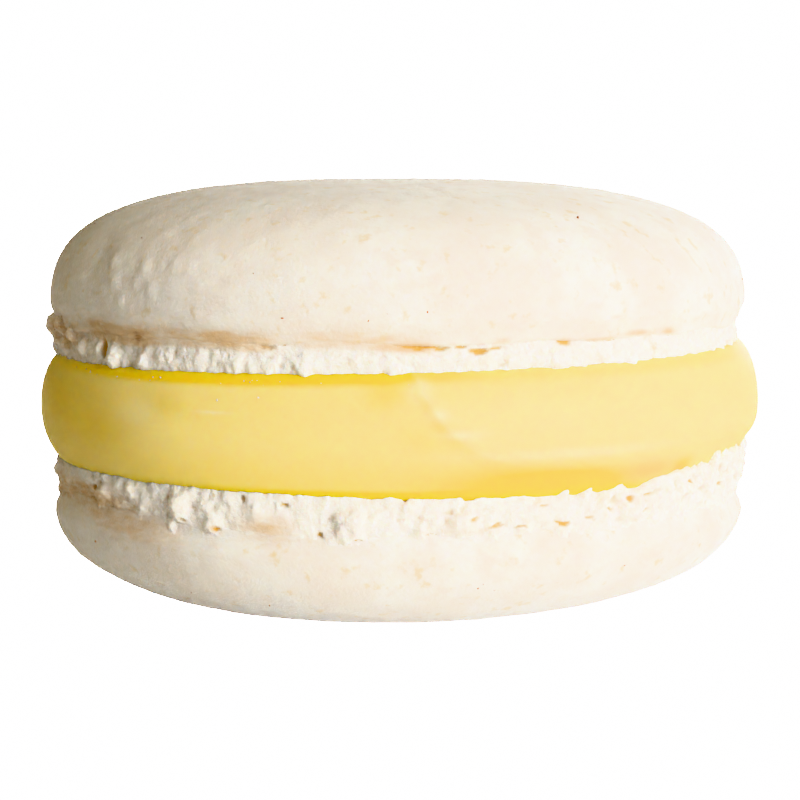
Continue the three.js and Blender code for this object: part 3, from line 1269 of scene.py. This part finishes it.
@dataclass
class CreamLayer:
    """The piped layer of lemon cream, bulging past the shells and pressed a little into their froth.

    Attributes:
        below: The level of the lower shell's contact face.
        above: The level of the upper shell's contact face.
        dents: Hollows of its side, the amount in millimetres.
        deeps: Painted shade, deeper yellow where the cream lies in shade.
        pales: Pale smears and painted highlights.
        stains: Places browned by the froth.
        radius: Its widest radius.
        edge_radius: Its radius where it meets the shells.
        bulge_power: A lower one makes its side fuller.
        pressed: How far it is pressed into each shell's froth.
        ridge_step: How far the piping's last turn stands proud.
        ridge_start: The angle where the ridge starts.
        ridge_fall: Degrees over which it sinks down the side.
        ridge_top: Its place up the cream at its start.
        ridge_floor: Its place up the cream at its end.
        ridge_softness: How soft its step is, as a share of the height.
        wander: How uneven the bulge is round the layer.
        line_depth: The depth of the nozzle's fine lines under the ridge.
        line_pitch: How closely they lie.
        line_fade: Degrees over which they fade.
        seam_fade: Degrees over which the painted highlight on the ridge's crest fades.
        seam_paleness: How strong that painted highlight is.
        contact_tint: How strong the painted shade is beside the froth.
        low_tint: How strong the painted shade is low on the side.
        columns: Faces round it.
        rings: Faces up its side.
    """

    below: Level
    above: Level
    dents: tuple[Mark, ...]
    deeps: tuple[Mark, ...]
    pales: tuple[Mark, ...]
    stains: tuple[Mark, ...]
    radius: float = 23.25
    edge_radius: float = 21.6
    bulge_power: float = 0.95
    pressed: float = 0.4
    ridge_step: float = 0.3
    ridge_start: float = 1.0
    ridge_fall: float = 6.0
    ridge_top: float = 1.1
    ridge_floor: float = 0.2
    ridge_softness: float = 0.11
    wander: float = 0.06
    line_depth: float = 0.012
    line_pitch: float = 150.0
    line_fade: float = 14.0
    seam_fade: float = 25.0
    seam_paleness: float = 0.7
    contact_tint: float = 0.3
    low_tint: float = 0.35
    columns: int = 640
    rings: int = 64

    @property
    def bottom(self) -> float:
        """The height of its lower face at the axis."""
        return self.below.height - self.pressed

    @property
    def top(self) -> float:
        """The height of its upper face at the axis."""
        return self.above.height + self.pressed

    def faces_at(self, x: np.ndarray) -> tuple[np.ndarray, np.ndarray]:
        """The heights of its two leaning faces at x, the lower one first."""
        return self.below.at(x) - self.pressed, self.above.at(x) + self.pressed

    def bulge_at(self, share: np.ndarray) -> np.ndarray:
        """How full the bulge is at a share of the cream's height, from 0 to 1."""
        return np.sqrt(np.clip(1 - (2 * share - 1) ** 2, 0, 1)) ** self.bulge_power

    def radius_at(self, share: float) -> float:
        """The radius of the cream's side at a share of its height."""
        return float(lerp(self.edge_radius, self.radius, self.bulge_at(np.array(share))))

    def spot(self, angle: float, share: float) -> np.ndarray:
        """Finds a point of the cream's side.

        Args:
            angle: Degrees round the macaron.
            share: The place up the cream.

        Returns:
            The point in millimetres.
        """
        away, turn = self.radius_at(share), math.radians(angle)
        x, y = away * math.sin(turn), -away * math.cos(turn)
        low, high = self.faces_at(x)
        return np.array([x, y, lerp(low, high, share)])

    def ridge_at(self, past: np.ndarray) -> np.ndarray:
        """The ridge's place up the cream at some degrees past its start."""
        return lerp(self.ridge_floor, self.ridge_top, np.exp(-past / self.ridge_fall))

    def build(self, finish: bpy.types.Material) -> bpy.types.Object:
        """Models the cream and dresses it.

        Args:
            finish: The lemon cream.

        Returns:
            The finished piece.
        """
        turn = np.linspace(-math.pi / 2, math.pi / 2, CURVE_POINTS)
        share = 0.5 + 0.5 * np.sin(turn)
        radius = lerp(self.edge_radius, self.radius, self.bulge_at(share))
        side = np.column_stack([radius, lerp(self.bottom, self.top, share)])
        length = np.hypot(*np.diff(side, axis=0).T).sum()
        outline = [(0, self.bottom), (self.edge_radius / 2, self.bottom)]
        outline += even_steps(side, length / self.rings)
        outline += [(self.edge_radius / 2, self.top), (0, self.top)]
        cream = turn_outline("lemon_cream", outline, self.columns)
        self.shape(cream)
        dress(cream, finish)
        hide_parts("filling")
        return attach(cream, "root")

    def covers(self, marks: tuple[Mark, ...], angle: np.ndarray, share: np.ndarray) -> np.ndarray:
        """Adds up how much of some marks lies at each place.

        Args:
            marks: The marks.
            angle: Angles in radians.
            share: Places up the cream.

        Returns:
            The sum for each place.
        """
        height = self.top - self.bottom
        return sum(mark.cover(angle, (share - mark.level) * height) for mark in marks)

    def shape(self, cream: bpy.types.Object) -> None:
        """Draws the ridge where the piping ends, the dents and the colour zones with their painted shade and
        highlights, and leans the layer.

        Args:
            cream: The level layer.
        """
        x, y, z = points_of(cream).T
        angle = np.arctan2(x, -y)
        share = (z - self.bottom) / (self.top - self.bottom)
        radius = np.hypot(x, y)
        reach = smoothstep(radius, 0.8 * self.radius, 0.9 * self.radius)
        bulge = self.bulge_at(share) * reach
        past = (np.degrees(angle) - self.ridge_start) % 360
        over = share - self.ridge_at(past)
        fading = 1 - past / 360
        cover = smoothstep(over, -self.ridge_softness, self.ridge_softness) * fading
        push = self.ridge_step * bulge * cover
        push += self.wander * bulge * ring_wave(angle, slowest=5, fastest=16, seed=7)
        push -= self.covers(self.dents, angle, share) * bulge
        lines = np.exp(-past / self.line_fade) * np.sin(share * self.line_pitch)
        under_ridge, at_ridge = smoothstep(over, -0.12, -0.02), 1 - smoothstep(over, 0, 0.1)
        push += self.line_depth * bulge * (lines * under_ridge * at_ridge)
        grow = (radius + push) / np.maximum(radius, 1e-6)
        x, y = x * grow, y * grow
        # painted highlight: a pale line along the ridge's crest, fading from where the ridge starts
        rim = smoothstep(over, 0.0, 0.07) * np.exp(-np.maximum(over, 0) / 0.12)
        seam = np.exp(-past / self.seam_fade) * rim * (0.8 + 0.2 * np.sin(share * 60 + past))
        # painted shade: deeper yellow beside the froth and low on the side
        by_upper, by_lower = smoothstep(share, 0.86, 0.95), 1 - smoothstep(share, 0.05, 0.12)
        edge = np.maximum(by_upper, by_lower)
        low = self.low_tint * (1 - smoothstep(share, 0.03, 0.5)) * reach
        for name, tint, marks in (
            ("deep", self.contact_tint * reach * edge + low, self.deeps),
            ("pale", self.seam_paleness * seam * bulge, self.pales),
            ("stain", 0, self.stains),
        ):
            store(cream, name, np.clip(tint + self.covers(marks, angle, share), 0, 1))
        low, high = self.faces_at(x)
        move_points(cream, np.column_stack([x, y, lerp(low, high, share)]))


@dataclass(frozen=True)
class Bit:
    """One small loose bit.

    Attributes:
        angle: Its place round the macaron.
        share: Its place up the surface that it lies on.
        radius: Its size.
    """

    angle: float
    share: float
    radius: float


@dataclass(frozen=True)
class Strewn:
    """A band of bits at random places.

    Attributes:
        count: How many there are.
        angles: The angles where the band starts and ends.
        shares: The least and most place up the surface.
        sizes: The least and most radius.
    """

    count: int
    angles: tuple[float, float]
    shares: tuple[float, float]
    sizes: tuple[float, float]


@dataclass
class Bits:
    """Small bits of one kind that lie on a surface or are baked into it.

    Attributes:
        name: The finished piece's name.
        surface: Gives the surface's point at an angle in degrees and a share.
        placed: Bits with a place of their own.
        strewn: Bands of bits at random places.
        toast_and_shade: How tan they are; on the crumbs this is painted shade.
        seed: Chooses their places.
        flatness: Their height over their width.
    """

    name: str
    surface: Callable[[float, float], np.ndarray]
    placed: tuple[Bit, ...]
    strewn: tuple[Strewn, ...]
    toast_and_shade: float = 0.0
    seed: int = 5
    flatness: float = 0.8

    def build(self, finish: bpy.types.Material) -> bpy.types.Object:
        """Models the bits as one piece and dresses them.

        Args:
            finish: Their material.

        Returns:
            The finished piece.
        """
        ball = uneven_ball(unevenness=0.17, seed=self.seed)
        bpy.ops.object.mode_set(mode="EDIT")
        bpy.ops.transform.resize(value=(1, 1, self.flatness))
        bpy.ops.object.mode_set(mode="OBJECT")
        draws = random.Random(self.seed)
        bits = list(self.placed)
        for band in self.strewn:
            spans = (band.angles, band.shares, band.sizes)
            bits += [Bit(*[draws.uniform(*span) for span in spans]) for _ in range(band.count)]
        copies = [
            copy_to(ball, self.surface(bit.angle, bit.share), (bit.radius,) * 3, draws) for bit in bits
        ]
        bpy.data.objects.remove(ball)
        joined = join_all(copies)
        joined.name = joined.data.name = self.name
        store(joined, "froth", np.ones(len(joined.data.vertices)))
        store(joined, "toast_and_shade", np.full(len(joined.data.vertices), self.toast_and_shade))
        dress(joined, finish)
        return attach(joined, "root")


@dataclass(frozen=True)
class AlmondSkin:
    """Scraps of brown almond skin that passed the sieve.

    Attributes:
        colour: A dull brown.
        roughness: Nearly matt.
    """

    colour: str = "#9a6038"
    roughness: float = 0.7

    def build(self) -> bpy.types.Material:
        """Makes the material.

        Returns:
            The material.
        """
        material, tree = new_material("almond_skin")
        inputs = {"Base Color": linear(self.colour), "Roughness": self.roughness, "Specular IOR Level": 0.3}
        shader = add_node(tree, "ShaderNodeBsdfPrincipled", inputs)
        add_node(tree, "ShaderNodeOutputMaterial", {"Surface": shader.outputs["BSDF"]})
        return material


# ---------------------------------------------------------------- table, light and camera


@dataclass(frozen=True)
class Lamp:
    """A soft area light aimed at the macaron.

    Attributes:
        name: Its name.
        azimuth: Degrees round the macaron from the front towards +X.
        elevation: Degrees above the table.
        power: Watts.
        width: Its width in metres.
        height: Its height in metres.
        distance: Metres from the macaron.
        colour: Its sRGB colour.
    """

    name: str
    azimuth: float
    elevation: float
    power: float
    width: float = 0.45
    height: float = 0.33
    distance: float = 0.7
    colour: str = "#ffffff"


@dataclass
class Studio:
    """A white table in a white room, lit low from the front right, and the camera.

    Attributes:
        lamps: The lights.
        table_radius: The table's radius in metres.
        table_depth: The thickness of its top in metres.
        table_colour: Its laminate's colour.
        table_glow: The light that it gives off by itself.
        room_glow: The light that the room sends into the shadows.
        room_colour: The colour of that light.
        backdrop_glow: How bright the camera sees the table and the room.
        camera_place: The camera's place in metres.
        camera_pitch: How far it looks down, in radians.
        lens: Its focal length in millimetres.
        aim: The height that the lamps are aimed at, in metres.
    """

    lamps: tuple[Lamp, ...]
    table_radius: float = 0.9
    table_depth: float = 0.02
    table_colour: str = "#f4f4f4"
    table_glow: float = 0.0
    room_glow: float = 0.052
    room_colour: str = "#ffe2a4"
    backdrop_glow: float = 30.0
    camera_place: tuple[float, float, float] = (0.0001, -0.150, 0.0289)
    camera_pitch: float = 0.108
    lens: float = 102.78
    aim: float = 0.014

    def build(self) -> None:
        """Sets up the table, the room, the lamps and the camera."""
        self.lay_table()
        self.light_room()
        for lamp in self.lamps:
            self.hang_lamp(lamp)
        self.place_camera()
        bpy.context.scene.view_settings.view_transform = "Khronos PBR Neutral"
        bpy.context.scene.view_settings.look = "None"

    def lay_table(self) -> None:
        """Makes the round white table top."""
        deselect_all()
        bpy.ops.mesh.primitive_circle_add(vertices=96, radius=self.table_radius, fill_type="NGON")
        table = bpy.context.object
        table.name = "table"
        bpy.ops.object.mode_set(mode="EDIT")
        bpy.ops.mesh.extrude_region_move(TRANSFORM_OT_translate={"value": (0, 0, -self.table_depth)})
        bpy.ops.mesh.select_all(action="SELECT")
        bpy.ops.mesh.normals_make_consistent(inside=False)
        bpy.ops.object.mode_set(mode="OBJECT")
        material, tree = new_material("white_laminate")
        seen = add_node(tree, "ShaderNodeLightPath").outputs["Is Camera Ray"]
        glow = add_node(tree, "ShaderNodeMapRange", {0: seen, 3: self.table_glow, 4: self.backdrop_glow})
        inputs = {
            "Base Color": linear(self.table_colour),
            "Roughness": 0.8,
            "Emission Color": (1, 1, 1, 1),
            "Emission Strength": glow.outputs[0],
        }
        shader = add_node(tree, "ShaderNodeBsdfPrincipled", inputs)
        add_node(tree, "ShaderNodeOutputMaterial", {"Surface": shader.outputs["BSDF"]})
        table.data.materials.append(material)

    def light_room(self) -> None:
        """Makes the white room that the camera sees and that fills the shadows."""
        world = bpy.data.worlds.new("white_room")
        bpy.context.scene.world = world
        world.use_nodes = True
        tree = world.node_tree
        tree.nodes.clear()
        seen = add_node(tree, "ShaderNodeLightPath").outputs["Is Camera Ray"]
        glow = add_node(tree, "ShaderNodeMapRange", {0: seen, 3: self.room_glow, 4: self.backdrop_glow})
        inputs = {0: seen, 6: linear(self.room_colour), 7: (1, 1, 1, 1)}
        tint = add_node(tree, "ShaderNodeMix", inputs, data_type="RGBA")
        inputs = {"Color": tint.outputs[2], "Strength": glow.outputs[0]}
        shader = add_node(tree, "ShaderNodeBackground", inputs)
        add_node(tree, "ShaderNodeOutputWorld", {"Surface": shader.outputs[0]})

    def hang_lamp(self, lamp: Lamp) -> None:
        """Hangs one soft light and aims it at the macaron's middle.

        Args:
            lamp: The light's place and strength.
        """
        data = bpy.data.lights.new(lamp.name, "AREA")
        data.shape = "RECTANGLE"
        data.size, data.size_y = lamp.width, lamp.height
        data.energy = lamp.power
        data.color = linear(lamp.colour)[:3]
        light = bpy.data.objects.new(lamp.name, data)
        bpy.context.scene.collection.objects.link(light)
        turn, up = math.radians(lamp.azimuth), math.radians(lamp.elevation)
        away = Vector((math.sin(turn) * math.cos(up), -math.cos(turn) * math.cos(up), math.sin(up)))
        light.location = Vector((0, 0, self.aim)) + away * lamp.distance
        light.rotation_euler = away.to_track_quat("Z", "Y").to_euler()
        light.visible_camera = False

    def place_camera(self) -> None:
        """Places the camera in front, a little above the macaron."""
        data = bpy.data.cameras.new("camera")
        data.lens = self.lens
        data.sensor_width = 36
        data.clip_start = 0.01
        camera = bpy.data.objects.new("camera", data)
        bpy.context.scene.collection.objects.link(camera)
        camera.location = self.camera_place
        camera.rotation_euler = (math.pi / 2 - self.camera_pitch, 0, 0)
        bpy.context.scene.camera = camera


# ---------------------------------------------------------------- the macaron


def rows_of(kind: type, *rows: tuple[float, ...]) -> tuple:
    """Makes one thing of a kind from each row.

    Args:
        kind: The class, such as Mark or Knob.
        rows: The values of its attributes, in their order in the class.

    Returns:
        The things.
    """
    return tuple(kind(*row) for row in rows)


# A row for Mark is its angle, level, width, height, amount and edge. A row for Knob is its angle, share,
# radius and sink. A row for Smooth is its start, end, low edge and tan.

UPPER_CONTACT = Level(16.25, 1.19)
LOWER_CONTACT = Level(9.58, -0.4)

UPPER_SHELL = MeringueShell(
    name="top_meringue_shell",
    node="top_shell",
    side=Side.UPPER,
    contact=UPPER_CONTACT,
    lip=Level(18.4, 0.2),
    crown=Level(27.2, -0.1),
    side_power=3.2,
    foot_inset=0.36,
    foot_profile=((0.0, 0.15, 0.45, 0.7, 1.0), (0.1, 0.08, 0.08, 0.2, 0.12)),
    drift=-0.1,
    seed=11,
    rows=(
        LumpRow(spacing=1.3, share=(0.12, 0.38), radius=(0.42, 0.76), sink=0.58, stretch=1.05, calm=0.0),
        LumpRow(spacing=1.0, share=(0.05, 0.5), radius=(0.3, 0.5), sink=0.3, stretch=1.1, calm=0.0),
        LumpRow(spacing=1.1, share=(0.65, 0.92), radius=(0.3, 0.42), sink=0.3, stretch=1.0, calm=1.0),
    ),
    knobs=rows_of(
        Knob,
        (-87, 0.82, 0.75, -0.3),
        (-82, 0.95, 0.55, -0.35),
        (-91, 0.6, 0.75, -0.25),
        (-93, 0.88, 0.65, -0.4),
        (-78, 0.85, 0.6, -0.35),
        (-75, 0.55, 0.55, -0.1),
        (-98, 0.8, 0.75, -0.3),
        (-71.5, 0.95, 0.55, -0.25),
        (-66, 0.8, 0.5, -0.1),
        (-90, 0.25, 0.65, 0.05),
        (-82, 0.35, 0.6, 0.05),
        (-69, 0.4, 0.6, 0.1),
        (-61, 0.45, 0.6, 0.2),
        (-50, 0.3, 0.75, 0.25),
        (-43, 0.3, 0.7, 0.3),
        (-14, 0.25, 0.8, 0.4),
        (24, 0.3, 0.9, 0.6),
        (141, 0.4, 1.0, 0.5),
    ),
    smooths=rows_of(
        Smooth,
        (-62, -14, 0.72, 0.4),
        (-19, 8, 0.74, 0.3),
        (100, 135, 0.7, 0.25),
        (190, 230, 0.7, 0.2),
    ),
    rises=(),
    blisters=rows_of(
        Mark,
        (-57.0, 1.45, 1.6, 1.9, -0.22),
        (-48.8, 1.35, 0.42, 0.4, 0.17),
        (-50.8, 1.46, 0.4, 0.35, 0.15),
        (-42.4, 1.44, 0.45, 0.5, 0.16),
        (-46.7, 1.21, 0.4, 0.35, 0.15),
        (-40.0, 1.3, 0.35, 0.3, 0.12),
        (-60.0, 1.34, 0.3, 0.25, 0.12),
    ),
    blistered=rows_of(Mark, (-45, 1.33, 5.5, 2.2), (-30, 1.2, 3.0, 1.0)),
    caves=rows_of(
        Mark,
        (-17.0, 0.9, 0.3, 0.2, 0.2, 2),
        (-19.8, 0.82, 0.5, 0.14, 0.17, 2),
        (0.8, 0.94, 0.6, 0.1, 0.3, 2),
        (3.4, 0.86, 1.2, 0.25, 0.32, 2),
        (6.8, 0.8, 0.5, 0.12, 0.18, 2),
        (9.5, 0.84, 0.4, 0.12, 0.25, 2),
        (12.2, 0.7, 0.6, 0.18, 0.35, 2),
        (14.8, 0.77, 0.4, 0.12, 0.25, 2),
        (25.7, 0.82, 0.45, 0.22, 0.3, 2),
        (31.6, 0.92, 0.9, 0.11, 0.3, 2),
        (38.8, 0.97, 0.6, 0.14, 0.3, 2),
        (45.9, 0.97, 0.6, 0.2, 0.35, 2),
        (53.0, 1.0, 0.5, 0.14, 0.25, 2),
        (-53.5, 0.5, 0.3, 0.5, 0.3, 2),
        # these four shallow caves show mostly as painted crease shade
        (-68.0, 0.6, 0.3, 0.4, 0.09),
        (-79.5, 0.7, 0.4, 0.4, 0.08),
        (-84.0, 0.55, 0.35, 0.4, 0.08),
        (-73.5, 0.78, 0.3, 0.3, 0.1),
        (20.5, 0.98, 0.5, 0.1, 0.25, 2),
        (35.0, 0.95, 0.5, 0.12, 0.25, 2),
        (49.5, 0.98, 0.5, 0.12, 0.3, 2),
        (92.0, 0.9, 0.7, 0.2, 0.4, 2),
        (151.0, 0.85, 1.0, 0.15, 0.4, 2),
        (204.0, 0.8, 0.6, 0.2, 0.4, 2),
    ),
    # The wide marks at -70 and -51 degrees are painted shade on the shaded left of the foot; the others are
    # spots browned by the oven.
    toast_and_shade_marks=rows_of(
        Mark,
        (-43.6, 0.92, 0.7, 0.5, 0.6),
        (-27.0, 1.0, 1.1, 0.4, 0.35),
        (-51.0, 0.95, 3.0, 0.7, 0.24),
        (-70.0, 0.8, 4.5, 1.3, 0.45),
        (3.0, 0.8, 1.6, 0.4, 0.3),
        (40.0, 1.0, 3.0, 0.3, 0.15),
        (15.5, 0.98, 0.7, 0.2, 0.35),
        (25.7, 0.82, 0.6, 0.25, 0.35),
        (31.6, 0.93, 1.1, 0.15, 0.4),
        (34.5, 1.12, 0.8, 0.15, 0.25),
        (39.0, 0.98, 0.9, 0.18, 0.4),
        (46.2, 1.0, 0.8, 0.25, 0.5),
        (53.0, 1.05, 0.6, 0.15, 0.35),
    ),
    notches=(),
)
LOWER_SHELL = MeringueShell(
    name="bottom_meringue_shell",
    node="bottom_shell",
    side=Side.LOWER,
    contact=LOWER_CONTACT,
    lip=Level(7.0, 0.0),
    crown=Level(-0.25, 0.6),
    side_power=2.5,
    foot_inset=0.12,
    foot_profile=((0.0, 0.2, 0.5, 0.8, 1.0), (0.2, 0.12, 0.1, 0.18, 0.32)),
    drift=0.05,
    seed=23,
    rows=(
        LumpRow(spacing=1.0, share=(0.08, 0.26), radius=(0.45, 0.75), sink=0.5, stretch=1.1, calm=0.0),
        LumpRow(spacing=1.2, share=(0.35, 0.62), radius=(0.5, 0.95), sink=0.6, stretch=1.1, calm=0.9),
        LumpRow(spacing=1.1, share=(0.7, 1.02), radius=(0.4, 0.75), sink=0.45, stretch=1.0, calm=1.0),
        LumpRow(0.8, (-0.1, 0.3), (0.4, 0.7), sink=0.1, stretch=0.9, calm=0, angles=(26, 102)),
        LumpRow(0.6, (-0.28, -0.1), (0.35, 0.6), sink=-0.05, stretch=0.9, calm=0, angles=(44, 92)),
        LumpRow(0.5, (-0.48, -0.3), (0.3, 0.45), sink=-0.2, stretch=0.9, calm=0, angles=(60, 83)),
    ),
    knobs=rows_of(
        Knob,
        (-84, 0.5, 0.9, 0.55),
        (-74, 0.3, 0.6, 0.2),
        (-95, 0.45, 0.95, 0.6),
        (-35, 0.5, 1.2, 0.6),
        (-29, 0.75, 0.9, 0.45),
        (-7, 0.6, 1.4, 0.75),
        (9, 0.6, 1.1, 0.55),
        (38, 0.5, 1.2, 0.6),
        (118, 0.4, 1.3, 0.7),
        (-150, 0.5, 1.2, 0.6),
    ),
    smooths=rows_of(
        Smooth,
        (-28, -12, 0.5, 0.2),
        (74, 98, 0.6, 0.1),
        (158, 192, 0.55, 0.2),
    ),
    rises=rows_of(
        Mark,
        (-57, 1, 5.5, 1, 0.85),
        (-40, 1, 2.5, 1, 0.3),
    ),
    blisters=(),
    blistered=rows_of(Mark, (-35, 1.5, 7.0, 1.6, 0.6)),
    caves=rows_of(
        Mark,
        (-55.9, 0.55, 0.3, 0.15, 0.3, 2),
        (-34.1, 0.8, 0.2, 0.15, 0.16, 2),
        (-28.2, 0.95, 0.25, 0.15, 0.25, 2),
        (-23.6, 0.19, 0.18, 0.2, 0.18, 2),
        (-17.1, 0.24, 0.25, 0.14, 0.24, 2),
        (-11.8, 0.84, 0.2, 0.14, 0.24, 2),
        (-6.1, 1.0, 0.3, 0.14, 0.3, 2),
        (25.2, 0.72, 0.5, 0.15, 0.3, 2),
        (14.5, 0.72, 0.5, 0.12, 0.2, 2),
        (18.3, 0.8, 0.4, 0.1, 0.18, 2),
        (21.8, 0.32, 0.35, 0.1, 0.18, 2),
        (30.0, 0.62, 0.4, 0.1, 0.18, 2),
        (40.5, 0.6, 0.3, 0.1, 0.18, 2),
        (41.5, 0.25, 0.5, 0.12, 0.2, 2),
        (37.2, 0.27, 0.25, 0.2, 0.24, 2),
        (5.0, 0.9, 0.4, 0.1, 0.2, 2),
        (11.0, 0.5, 0.3, 0.12, 0.2, 2),
        (33.5, 0.45, 0.3, 0.1, 0.2, 2),
        (52.0, 0.1, 0.4, 0.12, 0.25, 2),
        (63.0, 0.35, 0.5, 0.12, 0.2, 2),
    ),
    # The wide marks at -76 and -57 degrees are painted shade on the shaded left of the foot; the others are
    # the oven's colour.
    toast_and_shade_marks=rows_of(
        Mark,
        (-20.7, 0.84, 1.9, 0.55, 0.2),
        (-57.0, 0.8, 5.0, 1.1, 0.5),
        (-44.0, 1.1, 4.5, 0.8, 0.3),
        (-76.0, 0.7, 5.0, 1.4, 0.4),
        (-28.2, 0.95, 0.35, 0.2, 0.7),
        (10.0, 0.8, 3.0, 0.4, 0.15),
        (24.0, 0.75, 2.0, 0.35, 0.12),
        (39.0, 0.4, 2.0, 0.5, 0.1),
    ),
    notches=rows_of(
        Mark,
        (0.8, 0, 0.22, 1, 0.35, 1),
        (10.3, 0, 0.4, 1, 0.3, 4),
        (60.0, 0, 13.0, 1, -2.0, 3),
    ),
    froth_voxel=0.15,
    froth_melt=5,
)
CREAM = CreamLayer(
    below=LOWER_CONTACT,
    above=UPPER_CONTACT,
    dents=rows_of(
        Mark,
        (-41, 0.78, 2.4, 0.9, 0.14),
        (-37, 0.5, 3.0, 0.7, -0.06),
        (20, 0.2, 5.0, 0.6, 0.12),
        (66, 0.1, 9.0, 1.5, 0.8, 1.5),
    ),
    # Each of these marks paints shade where the cream lies in shade.
    deeps=rows_of(
        Mark,
        (-27, 0.96, 13.5, 0.5, 1.0, 2),
        (2, 0.03, 13.5, 0.45, 0.7, 2),
        (18, 0.14, 4.6, 1.0, 0.85),
        (28, 0.12, 3.0, 0.8, 1.0),
        (48.5, 0.15, 0.8, 0.5, 0.9),
        (-1.8, 0.85, 1.2, 1.0, 0.45),
        (4.0, 0.5, 1.6, 0.9, 0.25),
        (-35.5, 0.72, 1.4, 0.7, 0.25),
        (-50.0, 0.45, 3.0, 1.2, 0.3),
        (-66.0, 0.6, 6.5, 2.5, 0.55),
    ),
    # The marks at the ridge's start, at -41 and at 26 degrees are painted highlights; the thin one at -27.3
    # degrees is a smear.
    pales=rows_of(
        Mark,
        (3.2, 0.86, 0.55, 0.6, 0.6),
        (5.6, 0.68, 0.5, 0.35, 0.6),
        (8.6, 0.53, 1.1, 0.25, 0.5),
        (-41.0, 0.64, 1.4, 0.8, 0.35),
        (-27.3, 0.68, 0.8, 0.08, 0.7),
        (26.0, 0.36, 6.0, 0.3, 0.4),
    ),
    stains=rows_of(
        Mark,
        (41.0, 0.16, 2.6, 0.6, 0.6),
        (48.5, 0.13, 0.7, 0.35, 0.6),
    ),
)
CRUMBS = Bits(
    name="meringue_crumbs",
    surface=CREAM.spot,
    placed=(Bit(-26.7, 0.78, 0.08), Bit(-20.2, 0.81, 0.07), Bit(-38.0, 0.93, 0.06)),
    strewn=(
        Strewn(count=20, angles=(-72, -20), shares=(0.9, 0.94), sizes=(0.03, 0.06)),
        Strewn(count=8, angles=(-20, 5), shares=(0.9, 0.94), sizes=(0.02, 0.05)),
        Strewn(count=12, angles=(90, 280), shares=(0.06, 0.1), sizes=(0.04, 0.1)),
    ),
    # painted shade: the crumbs take some tan so that they come out in the colour of meringue in shade
    toast_and_shade=0.3,
)
SPECKS = tuple(
    Bits(
        name=name,
        surface=shell.spot,
        placed=placed,
        strewn=(Strewn(count=16, angles=(0, 360), shares=(0.1, 0.9), sizes=(0.04, 0.09)),),
        seed=seed,
        flatness=0.4,
    )
    for name, shell, placed, seed in (
        ("top_almond_specks", UPPER_SHELL, (Bit(34.5, 0.76, 0.11), Bit(-16.6, 0.14, 0.1)), 31),
        ("bottom_almond_specks", LOWER_SHELL, (Bit(-22.0, 0.6, 0.08),), 47),
    )
)
LAMPS = (
    Lamp("key", azimuth=40, elevation=11.5, power=10.0),
    Lamp("right", azimuth=80, elevation=10, power=1.8),
    Lamp("front_high", azimuth=0, elevation=50, power=0.2, colour="#fff0c8"),
    Lamp("top", azimuth=-112, elevation=60, power=1.4, colour="#ffedc0"),
    Lamp("back", azimuth=165, elevation=7.5, power=2.6, height=0.17),
)


def main() -> None:
    """Builds the macaron and its studio, and writes how large it came out."""
    logging.basicConfig(level=logging.INFO, format="%(name)s: %(message)s")
    meringue = BakedMeringue().build()
    pieces = [shell.build(meringue) for shell in (UPPER_SHELL, LOWER_SHELL)]
    pieces.append(CREAM.build(LemonCream().build()))
    pieces.append(CRUMBS.build(meringue))
    almond_skin = AlmondSkin().build()
    pieces += [specks.build(almond_skin) for specks in SPECKS]
    for piece in pieces:
        piece.data.calc_loop_triangles()
        log.info("%s: %d triangles", piece.name, len(piece.data.loop_triangles))
    Studio(lamps=LAMPS).build()


if __name__ == "__main__":
    main()
